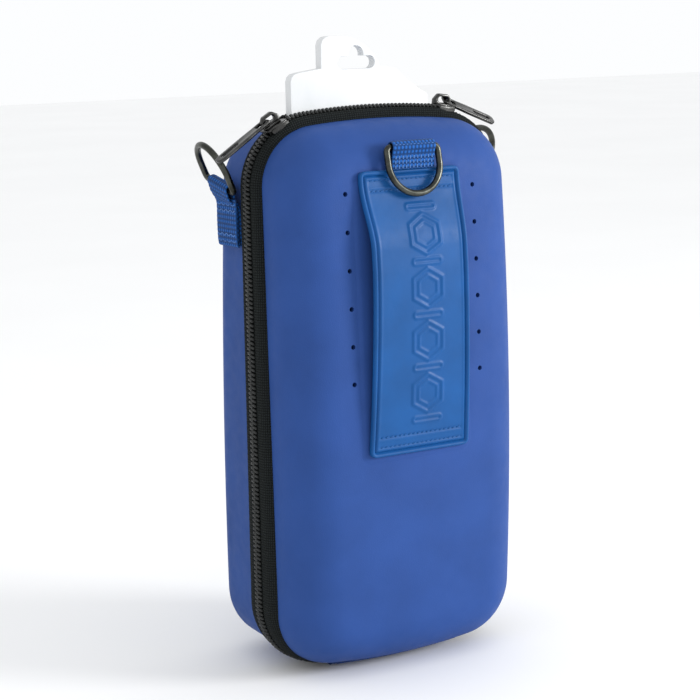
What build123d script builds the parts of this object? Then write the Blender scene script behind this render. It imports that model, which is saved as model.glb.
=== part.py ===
"""Moulded hard-shell carry case for a handheld instrument.

Two moulded halves meet at a coil zip that runs round both sides and the top.
A fabric hinge joins them along the bottom, where the case also stands.
Frame: X to the right, Y to the back, Z up; the zip lies in the plane y = 0
and the origin is on the ground under the middle of the hinge. Millimetres.
"""

import os
from math import asin, atan2, cos, degrees, radians, sin, sqrt

from build123d import *

# ---------------------------------------------------------------- driving sizes
CASE_W = 146.0            # over the zip, left to right
CASE_H = 285.0            # ground to the top of the zip
CORNER_R = 35.0           # corner radius of the zip outline
END_R = 420.0             # its top and bottom edges are slightly bowed
RIM_TOP_Y = 7.2           # distance from the zip plane to each shell's rim, at the top
RIM_BOTTOM_Y = 12.0       # and at the bottom, where the zip tape is wider
RIM_INSET = 4.6           # how far a shell's outline lies inside the zip outline
FOOT_DROP = 2.2           # how much further down the shells reach at the bottom
WALL = 4.0                # laminated foam wall
DRAFT = 2.0               # degrees, so that a shell leaves its mould
FRONT_DEPTH = 42.0        # deepest point of the front half
FRONT_DEEPEST_Z = 130.0   # and its height
FRONT_TOP_DROP = 9.0      # how much shallower the front half is at its top
BACK_DEPTH = 58.0
BACK_DEEPEST_Z = 62.0
BACK_TOP_DROP = 14.0
CROWN_R = 740.0           # sideways crown of both large faces
FRONT_EDGE_R = 24.0       # rounding between wall and large face
BACK_EDGE_R = 17.0
SKIN = 0.8                # lining and other thin fabrics
FIT = 0.05                # gap between pieces that are bonded face to face

VENT_D = 2.4
VENT_ROWS = 6
VENT_PITCH = 18.6
VENT_SPACING = 74.5       # between the two columns
VENT_TOP_Z = 246.2

LOOP_W = 58.0             # belt loop
LOOP_TOP_Z = 255.5
LOOP_BOTTOM_Z = 116.0
LOOP_T = 2.4
LOOP_STANDOFF = 5.5       # free height under the belt loop

WEB_W = 25.0              # webbing of the three ring tabs
WEB_T = 1.4
WIRE_R = 1.65             # wire of the D rings
RING_HALF = 14.85         # half the ring's width, to the wire's centre
RING_LEG = 8.5            # straight leg from the bar to the round end
RING_BEND_R = 2.6
BAR_GAP = 0.3             # running gap between webbing and bar

FRONT_BAR_Y = -38.2       # bar of the front ring
FRONT_BAR_Z = 267.5
FRONT_RING_TILT = 13.0    # degrees that the hanging ring stands off the belt loop
SIDE_BAR_X = 73.6         # bars of the side rings
SIDE_BAR_Y = 24.0
SIDE_BAR_Z = 249.0
SIDE_BAR_SLOPE = 12.0     # degrees that the back end of each side bar rises
SIDE_RING_LEAN = 27.0     # degrees that a side ring leans outwards
SIDE_TAB_BOTTOM_Z = 219.0

HINGE_HALF = 36.4         # half length of the fabric hinge
HINGE_FOOT_Y = 16.0       # half width of the strip that the case stands on

TEETH_T = 2.6             # thickness of the coil rows
LEFT_SLIDER_ANGLE = 121.0   # place on the left top corner, from +X
RIGHT_SLIDER_ANGLE = 82.0   # place on the right top corner
LEFT_PULL_DROOP = 2.5       # degrees that a hanging pull leans towards the case
RIGHT_PULL_DROOP = 9.0
SLIDER_HALF_ANGLE = 9.5
PULL_L = 34.0
PULL_W = 7.0
PULL_T = 1.5

CARD_T = 5.5
CARD_LEFT_X = -47.2
CARD_RIGHT_X = 33.0
CARD_BOTTOM_Z = 232.0

# ---------------------------------------------------------------- worked out
HALF_W = CASE_W / 2
ARC_X = HALF_W - CORNER_R                              # centres of the corner arcs
END_TO_CORNER = sqrt((END_R - CORNER_R) ** 2 - ARC_X**2)
ARC_Z = CASE_H - END_R + END_TO_CORNER
LOW_ARC_Z = END_R - END_TO_CORNER
CORNER_TURN = degrees(atan2(END_TO_CORNER, ARC_X))     # sweep of a corner arc
LEFT, RIGHT = -1, 1
FRONT, BACK = -1, 1

os.makedirs("parts", exist_ok=True)


def save(piece, name):
    """Label a finished piece and write it."""
    piece.part.label = name
    export_step(piece.part, f"parts/{name}.step")


def parabola_drop(top_drop, deepest_z, z):
    """How much shallower a half is at height z than at its deepest point."""
    return top_drop * ((z - deepest_z) / (CASE_H - deepest_z)) ** 2


def front_face_y(z):
    """Y of the front shell's face on its centre line."""
    return -(FRONT_DEPTH - parabola_drop(FRONT_TOP_DROP, FRONT_DEEPEST_Z, z))


def half_outline(inset):
    """Outline of a shell, inside the zip outline by `inset`, as seen from the front."""
    low_z = LOW_ARC_Z - FOOT_DROP
    with BuildSketch() as outline:
        with BuildLine():
            CenterArc((0, CASE_H - END_R), END_R - inset, 90, CORNER_TURN - 90)
            CenterArc((ARC_X, ARC_Z), CORNER_R - inset, CORNER_TURN, -CORNER_TURN)
            Line((HALF_W - inset, ARC_Z), (HALF_W - inset, low_z))
            CenterArc((ARC_X, low_z), CORNER_R - inset, 0, -CORNER_TURN)
            CenterArc((0, END_R - FOOT_DROP), END_R - inset, -CORNER_TURN, CORNER_TURN - 90)
            mirror(about=Plane.YZ)
        make_face()
    return outline.sketch


def moulded_form(side, inset):
    """Solid form of one half, its outside (inset 0) or a surface inside it.

    Drafted walls stand under a face that is crowned both ways, and the edge
    between them is rounded. It is made as a front half and turned about.
    """
    if side == FRONT:
        depth, deepest_z, top_drop = FRONT_DEPTH, FRONT_DEEPEST_Z, FRONT_TOP_DROP
        edge_r = FRONT_EDGE_R
    else:
        depth, deepest_z, top_drop = BACK_DEPTH, BACK_DEEPEST_Z, BACK_TOP_DROP
        edge_r = BACK_EDGE_R
    bottom_y = -(depth - inset - parabola_drop(top_drop, deepest_z, 0))
    top_y = -(depth - inset - parabola_drop(top_drop, deepest_z, CASE_H))
    with BuildPart() as crown:
        with BuildSketch(Plane.YZ):
            with BuildLine():
                face = ThreePointArc(
                    (bottom_y, 0), (-(depth - inset), deepest_z), (top_y, CASE_H)
                )
                Polyline(face @ 1, (0, CASE_H), (0, 0), face @ 0)
            make_face()
        revolve(axis=Axis((0, CROWN_R - depth, 0), (0, 0, 1)))
    with BuildPart() as form:
        with BuildSketch(Plane.XZ.offset(RIM_TOP_Y)):
            add(half_outline(RIM_INSET + inset))
        extrude(amount=FRONT_DEPTH + BACK_DEPTH, taper=DRAFT)
        add(crown.part, mode=Mode.INTERSECT)
        large_face = form.faces().filter_by(GeomType.REVOLUTION)[0]
        fillet(large_face.edges(), edge_r - inset)
        if side == BACK:
            mirror(about=Plane.XZ, mode=Mode.REPLACE)
    return form.part


def shell_between(side, outer_inset, inner_inset):
    """Open shell of one half between two insets of its form, cut at its rim."""
    with BuildPart() as shell:
        add(moulded_form(side, outer_inset))
        add(moulded_form(side, inner_inset), mode=Mode.SUBTRACT)
        with BuildSketch(Plane.YZ):
            with BuildLine():
                Polyline(
                    (0, -1),
                    (side * RIM_BOTTOM_Y, -1),
                    (side * RIM_BOTTOM_Y, LOW_ARC_Z),
                    (side * RIM_TOP_Y, ARC_Z),
                    (side * RIM_TOP_Y, CASE_H),
                    (0, CASE_H),
                    close=True,
                )
            make_face()
        extrude(amount=HALF_W, both=True, mode=Mode.SUBTRACT)
    return shell.part


def zip_stretches():
    """The zip outline as stretches (wire, is_open, rim at its start, rim at its end).

    They run up the left side, along the open top between the two sliders, and
    down the right side. Each straight side is a stretch of its own, because the
    tape narrows along it from the bottom rim's width to the top rim's.
    """
    low_turn = 90 - CORNER_TURN
    hinge_turn = degrees(asin((HINGE_HALF + 0.2) / END_R))
    with BuildLine(Plane.XZ) as low_left:
        CenterArc((0, END_R), END_R, 270 - hinge_turn, hinge_turn - low_turn)
        CenterArc((-ARC_X, LOW_ARC_Z), CORNER_R, 180 + CORNER_TURN, -CORNER_TURN)
    with BuildLine(Plane.XZ) as left_side:
        Line((-HALF_W, LOW_ARC_Z), (-HALF_W, ARC_Z))
    with BuildLine(Plane.XZ) as high_left:
        CenterArc((-ARC_X, ARC_Z), CORNER_R, 180, LEFT_SLIDER_ANGLE - 180)
    with BuildLine(Plane.XZ) as top:
        left_end = 180 - CORNER_TURN
        CenterArc((-ARC_X, ARC_Z), CORNER_R, LEFT_SLIDER_ANGLE, left_end - LEFT_SLIDER_ANGLE)
        CenterArc((0, CASE_H - END_R), END_R, left_end, CORNER_TURN - left_end)
        CenterArc((ARC_X, ARC_Z), CORNER_R, CORNER_TURN, RIGHT_SLIDER_ANGLE - CORNER_TURN)
    with BuildLine(Plane.XZ) as high_right:
        CenterArc((ARC_X, ARC_Z), CORNER_R, RIGHT_SLIDER_ANGLE, -RIGHT_SLIDER_ANGLE)
    with BuildLine(Plane.XZ) as right_side:
        Line((HALF_W, ARC_Z), (HALF_W, LOW_ARC_Z))
    with BuildLine(Plane.XZ) as low_right:
        CenterArc((ARC_X, LOW_ARC_Z), CORNER_R, 0, -CORNER_TURN)
        CenterArc((0, END_R), END_R, -CORNER_TURN, hinge_turn - low_turn)
    return [
        (low_left.wire(), False, RIM_BOTTOM_Y, RIM_BOTTOM_Y),
        (left_side.wire(), False, RIM_BOTTOM_Y, RIM_TOP_Y),
        (high_left.wire(), False, RIM_TOP_Y, RIM_TOP_Y),
        (top.wire(), True, RIM_TOP_Y, RIM_TOP_Y),
        (high_right.wire(), False, RIM_TOP_Y, RIM_TOP_Y),
        (right_side.wire(), False, RIM_TOP_Y, RIM_BOTTOM_Y),
        (low_right.wire(), False, RIM_BOTTOM_Y, RIM_BOTTOM_Y),
    ]


def zip_band(side, section):
    """A band of one half along the zip.

    section(is_open, rim_y) gives its points (y, outwards).
    """
    with BuildPart() as band:
        for wire, is_open, rim_start, rim_end in zip_stretches():
            profiles = []
            for share, rim_y in ((0, rim_start), (1, rim_end)):
                at = Plane(origin=wire @ share, x_dir=(0, 1, 0), z_dir=wire % share)
                with BuildSketch(at) as profile:
                    with BuildLine():
                        points = section(is_open, rim_y)
                        Polyline(*[(side * y, out) for y, out in points], close=True)
                    make_face()
                profiles.append(profile.sketch)
            if rim_start == rim_end:
                sweep(sections=profiles[0], path=wire)
            else:
                loft(sections=profiles)
    return band.part


# ---------------------------------------------------------------- shells
with BuildPart() as back_shell:
    add(shell_between(BACK, 0, WALL))
save(back_shell, "back_shell")

vent_places = [
    (column * VENT_SPACING / 2, VENT_TOP_Z - row * VENT_PITCH)
    for column in (LEFT, RIGHT)
    for row in range(VENT_ROWS)
]
with BuildPart() as front_shell:
    add(shell_between(FRONT, 0, WALL))
    with BuildSketch(Plane.XZ.offset(RIM_BOTTOM_Y)):
        with Locations(*vent_places):
            Circle(VENT_D / 2)
    extrude(amount=FRONT_DEPTH, mode=Mode.SUBTRACT)
save(front_shell, "front_shell")

for side, name in ((BACK, "back_lining"), (FRONT, "front_lining")):
    with BuildPart() as lining:
        add(shell_between(side, WALL + FIT, WALL + SKIN))
    save(lining, name)

# ---------------------------------------------------------------- zip
TAPE_IN = RIM_INSET + 0.2     # where the tape meets the rim, inside the zip outline
TAPE_T = 1.1                  # tape measured across the rim
OPEN_SHIFT = 2.7              # how far each coil row stands back where the zip is open
BINDING_IN, BINDING_H, BINDING_T = 6.2, 2.6, 1.8


def tape_section(is_open, rim_y):
    """Tape from under the coil to the rim."""
    coil_y = 3.6 + (OPEN_SHIFT if is_open else 0)
    return [(rim_y, -TAPE_IN), (coil_y, -0.6), (coil_y, -1.6), (rim_y, -TAPE_IN - TAPE_T)]


def teeth_section(is_open, rim_y):
    """Coil row, which ends short of the zip plane where the zip is closed."""
    shift = OPEN_SHIFT if is_open else 0
    near, far = 0.15 + shift, 3.6 + shift
    return [(near, 0), (far, 0), (far, -TEETH_T), (near, -TEETH_T)]


def binding_section(is_open, rim_y):
    """Binding over the raw edge inside the rim."""
    near, far = rim_y - BINDING_T, rim_y
    low = -BINDING_IN - BINDING_H
    return [(far, -BINDING_IN), (far, low), (near, low), (near, -BINDING_IN)]


for side, end in ((BACK, "back"), (FRONT, "front")):
    with BuildPart() as zip_tape:
        add(zip_band(side, tape_section))
    save(zip_tape, f"zip_tape_{end}")

    with BuildPart() as zip_teeth:
        add(zip_band(side, teeth_section))
    save(zip_teeth, f"zip_teeth_{end}")

    with BuildPart() as binding:
        add(zip_band(side, binding_section))
    save(binding, f"rim_binding_{end}")

    # half of the fabric hinge, with the flat strip that the case stands on
    with BuildPart() as hinge_strip:
        with BuildSketch(Plane.YZ):
            with BuildLine():
                Polyline(
                    (side * 0.15, 0),
                    (side * (HINGE_FOOT_Y - 1), 0),
                    (side * HINGE_FOOT_Y, 0.8),
                    (side * HINGE_FOOT_Y, RIM_INSET),
                    (side * RIM_BOTTOM_Y, RIM_INSET),
                    (side * 8.0, 1.4),
                    (side * 0.15, 1.4),
                    close=True,
                )
            make_face()
        extrude(amount=HINGE_HALF, both=True)
        add(moulded_form(side, -FIT), mode=Mode.SUBTRACT)
    save(hinge_strip, f"hinge_strip_{end}")


# ---------------------------------------------------------------- belt loop
def loop_standoff(z):
    """Gap between the belt loop and the shell: none at its ends, full between."""
    pad, rise = 11.0, 27.0
    from_end = min(z - LOOP_BOTTOM_Z, LOOP_TOP_Z - z) - pad
    share = min(max(from_end / rise, 0), 1)
    return 0.3 + LOOP_STANDOFF * (1 - cos(radians(180 * share))) / 2


LOOP_POINTS = 15
loop_heights = [
    LOOP_BOTTOM_Z + (LOOP_TOP_Z - LOOP_BOTTOM_Z) * i / (LOOP_POINTS - 1)
    for i in range(LOOP_POINTS)
]
loop_inside = [(front_face_y(z) - loop_standoff(z), z) for z in loop_heights]
loop_outside = [(y - LOOP_T, z) for y, z in loop_inside]
with BuildPart() as belt_loop:
    with BuildSketch(Plane.YZ):
        with BuildLine():
            near = Spline(*loop_inside)
            far = Spline(*loop_outside)
            Line(near @ 0, far @ 0)
            Line(near @ 1, far @ 1)
        make_face()
    extrude(amount=LOOP_W / 2, both=True)
    upright = belt_loop.edges().filter_by(Axis.Y, tolerance=2)
    fillet(upright, 3.0)
save(belt_loop, "belt_loop")

# ---------------------------------------------------------------- ring tabs
LOOP_R = WIRE_R + BAR_GAP          # inside of the webbing round a bar
FOLD_R = LOOP_R + WEB_T            # outside of it


def webbing_fold(tail, plane):
    """Webbing folded round a bar: an eye with a tail, cut through for the bar.

    The profile lies in `plane` with the bar at its origin; the tail hangs down.
    """
    with BuildPart() as fold:
        with BuildSketch(plane):
            Circle(FOLD_R)
            with Locations((0, -tail / 2)):
                Rectangle(2 * WEB_T, tail)
            Circle(LOOP_R, mode=Mode.SUBTRACT)
        extrude(amount=WEB_W / 2, both=True)
    return fold.part


front_tab_plane = Plane(
    origin=(0, FRONT_BAR_Y, FRONT_BAR_Z), x_dir=(0, 1, 0), z_dir=(1, 0, 0)
)
with BuildPart() as front_tab:
    add(webbing_fold(FRONT_BAR_Z - LOOP_TOP_Z - 0.1, front_tab_plane))
save(front_tab, "front_ring_tab")

side_tabs = {}
for side, name in ((LEFT, "left_ring_tab"), (RIGHT, "right_ring_tab")):
    bar_at = (side * SIDE_BAR_X, SIDE_BAR_Y, SIDE_BAR_Z)
    slope = radians(SIDE_BAR_SLOPE)
    fold_plane = Plane(
        origin=bar_at,
        x_dir=(side, 0, 0),
        z_dir=(0, -side * cos(slope), -side * sin(slope)),
    )
    wall_x = HALF_W - RIM_INSET + 0.1
    with BuildPart() as side_tab:
        add(webbing_fold(9.0, fold_plane))
        with BuildSketch(Plane.XZ.offset(-SIDE_BAR_Y)) as strap:
            with BuildLine():
                Polyline(
                    (side * wall_x, SIDE_TAB_BOTTOM_Z),
                    (side * (wall_x + 2 * WEB_T), SIDE_TAB_BOTTOM_Z + 1),
                    (side * (wall_x + 2 * WEB_T), SIDE_BAR_Z - 14),
                    (side * (SIDE_BAR_X + WEB_T), SIDE_BAR_Z - 7),
                    (side * (SIDE_BAR_X - WEB_T), SIDE_BAR_Z - 6),
                    (side * wall_x, SIDE_BAR_Z - 12),
                    close=True,
                )
            make_face()
        extrude(amount=WEB_W / 2, both=True)
    save(side_tab, name)


# ---------------------------------------------------------------- D rings
def d_ring(plane):
    """Wire D ring: the bar lies along the plane's x, the round end at its -y."""
    with BuildPart() as ring:
        with BuildLine(plane) as path:
            bar = Line((0, 0), (RING_HALF - RING_BEND_R, 0))
            bend = CenterArc((RING_HALF - RING_BEND_R, -RING_BEND_R), RING_BEND_R, 90, -90)
            leg = Line((RING_HALF, -RING_BEND_R), (RING_HALF, -RING_LEG))
            end = CenterArc((0, -RING_LEG), RING_HALF, 0, -90)
        wire = path.wire()
        across = Plane(origin=wire @ 0, z_dir=wire % 0)
        with BuildSketch(across) as section:
            Circle(WIRE_R)
        sweep(sections=section.sketch, path=wire)
        middle = Plane(origin=plane.origin, z_dir=plane.x_dir)
        mirror(about=middle)
    return ring.part


tilt = radians(FRONT_RING_TILT)
with BuildPart() as front_ring:
    add(
        d_ring(
            Plane(
                origin=(0, FRONT_BAR_Y, FRONT_BAR_Z),
                x_dir=(1, 0, 0),
                z_dir=(0, -cos(tilt), sin(tilt)),
            )
        )
    )
save(front_ring, "front_d_ring")

for side, name in ((LEFT, "left_d_ring"), (RIGHT, "right_d_ring")):
    slope, lean = radians(SIDE_BAR_SLOPE), radians(SIDE_RING_LEAN)
    along_bar = Vector(0, cos(slope), sin(slope))
    upright = Vector(0, -sin(slope), cos(slope))
    apex_way = upright * cos(lean) + Vector(side, 0, 0) * sin(lean)
    ring_plane = Plane(
        origin=(side * SIDE_BAR_X, SIDE_BAR_Y, SIDE_BAR_Z),
        x_dir=along_bar,
        z_dir=along_bar.cross(-apex_way),
    )
    with BuildPart() as side_ring:
        add(d_ring(ring_plane))
    save(side_ring, name)

# ---------------------------------------------------------------- zip sliders
PLATE_OUT = 0.35          # underside of a slider's plate above the coil
PLATE_T = 1.5
PLATE_HALF_Y = 6.7
FLANGE_T = 0.8
BRIDGE_W = 2.6
BRIDGE_TOP = 7.4
PIN_OUT = 4.4             # pull's end bar above the coil
PIN_R = 0.75
ARM_GAP = 0.35


def corner_sector(side, centre_angle, half_angle, r_in, r_out, y_low, y_high):
    """Block that follows the case's top corner, between two radii and two Ys."""
    centre = (side * ARC_X, ARC_Z)
    with BuildPart() as sector:
        with BuildSketch(Plane.XZ.offset(-y_high)):
            with BuildLine():
                outer = CenterArc(
                    centre, r_out, centre_angle - half_angle, 2 * half_angle
                )
                inner = CenterArc(
                    centre, r_in, centre_angle - half_angle, 2 * half_angle
                )
                Line(outer @ 0, inner @ 0)
                Line(outer @ 1, inner @ 1)
            make_face()
        extrude(amount=y_high - y_low)
    return sector.part


for side, angle, droop, name in (
    (LEFT, LEFT_SLIDER_ANGLE, LEFT_PULL_DROOP, "left"),
    (RIGHT, RIGHT_SLIDER_ANGLE, RIGHT_PULL_DROOP, "right"),
):
    plate_r = CORNER_R + PLATE_OUT
    turn = 1 if side == LEFT else -1     # way along the corner to the pull's tip
    way = radians(angle)
    outwards = Vector(cos(way), 0, sin(way))
    along = Vector(-sin(way), 0, cos(way)) * turn
    foot = Vector(side * ARC_X, 0, ARC_Z) + outwards * CORNER_R

    with BuildPart() as slider:
        add(
            corner_sector(
                side, angle, SLIDER_HALF_ANGLE,
                plate_r, plate_r + PLATE_T, -PLATE_HALF_Y - FLANGE_T, PLATE_HALF_Y,
            )
        )
        add(
            corner_sector(
                side, angle, SLIDER_HALF_ANGLE,
                CORNER_R - 1.2, plate_r, -PLATE_HALF_Y - FLANGE_T, -PLATE_HALF_Y,
            )
        )
    save(slider, f"{name}_slider_body")

    # arched bridge on the plate, in a plane whose x runs towards the pull's tip
    bridge_plane = Plane(
        origin=tuple(foot), x_dir=tuple(along), z_dir=tuple(along.cross(outwards))
    )
    with BuildPart() as bridge:
        with BuildSketch(bridge_plane):
            with BuildLine():
                Polyline((-5.2, 2.2), (-5.2, 4.2), (-2.6, BRIDGE_TOP))
                Line((-2.6, BRIDGE_TOP), (3.0, BRIDGE_TOP))
                Polyline((3.0, BRIDGE_TOP), (5.2, 5.2), (5.2, 2.2), (-5.2, 2.2))
            make_face()
            with Locations((0.4, PIN_OUT)):
                SlotOverall(6.4, 2 * PIN_R + 1.5, mode=Mode.SUBTRACT)
        extrude(amount=BRIDGE_W / 2, both=True)
    save(bridge, f"{name}_slider_bridge")

    # pull tab: an end bar through the bridge, two arms, a long blade
    pull_way = along.rotate(Axis((0, 0, 0), (0, 1, 0)), -turn * droop)
    pull_plane = Plane(
        origin=tuple(foot + outwards * PIN_OUT + along * 1.6),
        x_dir=tuple(pull_way),
        z_dir=tuple(pull_way.cross(Vector(0, 1, 0)) * turn),
    )
    with BuildPart() as pull:
        with BuildSketch(pull_plane):
            with Locations((PULL_L / 2 - PIN_R, 0)):
                RectangleRounded(PULL_L, PULL_W, 2.2)
            with Locations((3.4, 0)):
                RectangleRounded(
                    8.3 - 2 * PIN_R, BRIDGE_W + 2 * ARM_GAP, 0.9, mode=Mode.SUBTRACT
                )
            with Locations((PULL_L - 9.5, 0)):
                SlotOverall(11.0, 2.6, mode=Mode.SUBTRACT)
        extrude(amount=PULL_T / 2, both=True)
        fillet(pull.edges().filter_by(GeomType.LINE).group_by(SortBy.LENGTH)[-1], 0.4)
    save(pull, f"{name}_pull")

# ---------------------------------------------------------------- header card
with BuildPart() as header_card:
    with BuildSketch(Plane.XZ.offset(-CARD_T / 2)):
        with BuildLine():
            outline = Polyline(
                (CARD_LEFT_X, CARD_BOTTOM_Z),
                (CARD_LEFT_X, 303.5),
                (-29.5, 305.6),
                (-29.5, 317.0),
                (-24.5, 321.3),
                (-18.0, 321.3),
            )
            tab_arc = RadiusArc(outline @ 1, (4.5, 305.8), 26.0)
            Line(tab_arc @ 1, (14.0, 304.4))
            slope = Spline((14.0, 304.4), (24.3, 296.0), (CARD_RIGHT_X, 290.8))
            Polyline(slope @ 1, (CARD_RIGHT_X, CARD_BOTTOM_Z), (CARD_LEFT_X, CARD_BOTTOM_Z))
        make_face()
        with Locations((-9.4, 309.4)):
            SlotOverall(22.0, 3.6, mode=Mode.SUBTRACT)
            with Locations((0, 2.4)):
                Circle(4.6, mode=Mode.SUBTRACT)
    extrude(amount=CARD_T)
save(header_card, "header_card")

# ---------------------------------------------------------------- inside the lid
POCKET_W, POCKET_H, POCKET_BOTTOM = 104.0, 97.0, 32.0
POCKET_Y = -22.0          # the mesh's inner face
POCKET_BACK_Y = -30.0     # its edges, sewn to the lining
with BuildPart() as mesh_pocket:
    with BuildSketch(Plane.XY.offset(POCKET_BOTTOM)):
        with BuildLine():
            Polyline(
                (-POCKET_W / 2, POCKET_BACK_Y),
                (-POCKET_W / 2, POCKET_Y),
                (POCKET_W / 2, POCKET_Y),
                (POCKET_W / 2, POCKET_BACK_Y),
            )
            offset(amount=SKIN / 2, side=Side.BOTH, closed=True)
        make_face()
    extrude(amount=POCKET_H)
    with BuildSketch(Plane.XY.offset(POCKET_BOTTOM)):
        with Locations((0, (POCKET_Y + POCKET_BACK_Y) / 2)):
            Rectangle(POCKET_W, POCKET_Y - POCKET_BACK_Y)
    extrude(amount=SKIN)
save(mesh_pocket, "mesh_pocket")

with BuildPart() as pocket_hem:
    with BuildSketch(Plane.XZ.offset(-POCKET_Y - SKIN / 2 - FIT)):
        with Locations((0, POCKET_BOTTOM + POCKET_H - 5)):
            Rectangle(POCKET_W, 10)
    extrude(amount=-1.2)
save(pocket_hem, "pocket_hem")

# ---------------------------------------------------------------- inside the back
LOOP_COUNT, PEN_R, PEN_PITCH = 3, 8.0, 26.0
ELASTIC_T, ELASTIC_W, ELASTIC_Z = 1.2, 22.0, 150.0
face_at_elastic = BACK_DEPTH - parabola_drop(BACK_TOP_DROP, BACK_DEEPEST_Z, ELASTIC_Z + ELASTIC_W / 2)
elastic_y = face_at_elastic - WALL - SKIN - ELASTIC_T - 2.4
with BuildPart() as pen_loops:
    with BuildSketch(Plane.XY.offset(ELASTIC_Z - ELASTIC_W / 2)):
        with Locations((0, elastic_y + ELASTIC_T / 2)):
            Rectangle(PEN_PITCH * (LOOP_COUNT - 1) + 2 * PEN_R + 18, ELASTIC_T)
        with GridLocations(PEN_PITCH, 1, LOOP_COUNT, 1):
            with Locations((0, elastic_y - PEN_R + 0.2)):
                Circle(PEN_R + ELASTIC_T)
                Circle(PEN_R, mode=Mode.SUBTRACT)
    extrude(amount=ELASTIC_W)
save(pen_loops, "pen_loops")
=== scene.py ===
"""Looks of the moulded zip-up carry case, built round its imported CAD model."""

from math import atan2, ceil, cos, pi, radians, sin, sqrt, tan

import bmesh
import bpy
import numpy as np
from mathutils import Matrix, Vector


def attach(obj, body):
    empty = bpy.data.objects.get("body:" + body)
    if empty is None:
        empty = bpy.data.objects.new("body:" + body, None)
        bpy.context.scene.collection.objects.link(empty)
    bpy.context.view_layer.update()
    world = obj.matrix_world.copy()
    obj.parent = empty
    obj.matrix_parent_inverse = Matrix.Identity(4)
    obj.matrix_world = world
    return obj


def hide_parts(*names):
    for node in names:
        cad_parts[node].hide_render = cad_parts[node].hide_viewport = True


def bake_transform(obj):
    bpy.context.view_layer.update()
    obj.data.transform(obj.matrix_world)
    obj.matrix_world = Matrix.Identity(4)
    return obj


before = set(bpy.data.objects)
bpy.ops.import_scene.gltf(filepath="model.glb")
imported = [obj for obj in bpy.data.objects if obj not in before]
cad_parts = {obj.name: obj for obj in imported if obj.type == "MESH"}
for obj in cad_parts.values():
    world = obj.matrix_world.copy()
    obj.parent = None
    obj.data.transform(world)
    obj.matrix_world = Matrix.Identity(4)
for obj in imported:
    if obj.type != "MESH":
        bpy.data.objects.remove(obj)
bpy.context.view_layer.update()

# ---- sizes, millimetres
MM = 0.001
CASE_H = 285.0
HALF_W = 73.0
CORNER_R = 35.0
END_R = 420.0
RIM_TOP_Y, RIM_BOTTOM_Y = 8.2, 12.0
RIM_INSET = 4.6
FOOT_DROP = 2.2
WALL = 4.0
DRAFT = tan(radians(2.0))
CROWN_R = 740.0
FRONT, BACK = -1, 1
LEFT, RIGHT = -1, 1
FORMS = {     # depth, height of the deepest point, drop at the top, edge rounding
    FRONT: (42.0, 130.0, 9.0, 24.0),
    BACK: (58.0, 62.0, 14.0, 17.0),
}
ARC_X = HALF_W - CORNER_R
END_TO_CORNER = sqrt((END_R - CORNER_R) ** 2 - ARC_X**2)
ARC_Z = CASE_H - END_R + END_TO_CORNER
LOW_ARC_Z = END_R - END_TO_CORNER
CORNER_TURN = atan2(END_TO_CORNER, ARC_X)
SLIDER_ANGLES = {LEFT: radians(121.0), RIGHT: radians(82.0)}
PULL_DROOPS = {LEFT: radians(2.5), RIGHT: radians(14.0)}
PULL_TWISTS = {LEFT: radians(4.0), RIGHT: radians(35.0)}
BODY_OF_HALF = {FRONT: "lid", BACK: "back_half"}
END_OF_HALF = {FRONT: "front", BACK: "back"}
FORWARD, UP = (0, -1, 0), (0, 0, 1)


# ---- camera
def in_scene(name, data):
    """New object, linked into the scene."""
    item = bpy.data.objects.new(name, data)
    bpy.context.scene.collection.objects.link(item)
    return item


def make_camera():
    """Camera at the viewing angle: azimuth, elevation and roll about a target."""
    azimuth, elevation, roll = radians(-31.0), radians(9.95), radians(-1.29)
    distance, slide_right, slide_up = 1.0156, -0.0158, 0.0187
    target = Vector((0, -0.005, 0.1425))
    back = Vector((sin(azimuth) * cos(elevation), -cos(azimuth) * cos(elevation), sin(elevation)))
    level = (-back).cross(Vector(UP)).normalized()
    upright = level.cross(-back)
    right = level * cos(roll) + upright * sin(roll)
    up = upright * cos(roll) - level * sin(roll)
    data = bpy.data.cameras.new("camera")
    data.lens, data.sensor_width = 101.43, 36.0
    data.clip_start, data.clip_end = 0.05, 20
    camera = in_scene("camera", data)
    place = target + back * distance + right * slide_right + up * slide_up
    camera.matrix_world = Matrix.Translation(place) @ Matrix((right, up, back)).transposed().to_4x4()
    bpy.context.scene.camera = camera


make_camera()


# ---- materials
MATERIALS = {}


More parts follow.
